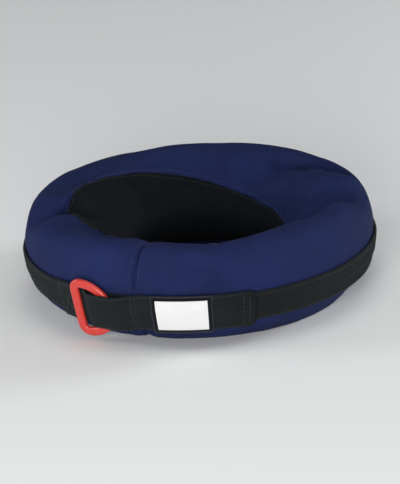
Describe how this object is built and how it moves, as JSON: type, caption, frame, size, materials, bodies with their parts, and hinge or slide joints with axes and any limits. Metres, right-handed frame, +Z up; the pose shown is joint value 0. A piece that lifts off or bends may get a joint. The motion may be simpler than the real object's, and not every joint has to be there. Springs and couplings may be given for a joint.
{
  "type": "inflatable pet collar",
  "caption": "Soft inflatable ring collar for a pet, navy cloth cover with a charcoal perimeter band, a strap through a red D ring and a plain white patch.",
  "frame": {"origin": "the middle of the object's box, at floor level, with the collar lying on its underside", "axes": "+Z up through the neck hole, -Y the front with the white patch, +X the right side as seen from the front"},
  "size_m": [0.3202, 0.3256, 0.0946],
  "materials": {
    "navy_cloth": "woven nylon",
    "charcoal_cloth": "woven nylon",
    "charcoal_webbing": "ribbed webbing",
    "red_plastic": "moulded, satin",
    "black_cloth": "stitched edging",
    "white_patch": "plain, unprinted"
  },
  "bodies": {
    "root": {"cover_top": "navy_cloth", "cover_bottom": "navy_cloth", "neck_wall": "charcoal_cloth", "perimeter_band": "charcoal_webbing", "closure_strap": "charcoal_webbing", "d_ring": "red_plastic", "label_backing": "black_cloth", "label_patch": "white_patch"}
  },
  "joints": []
}
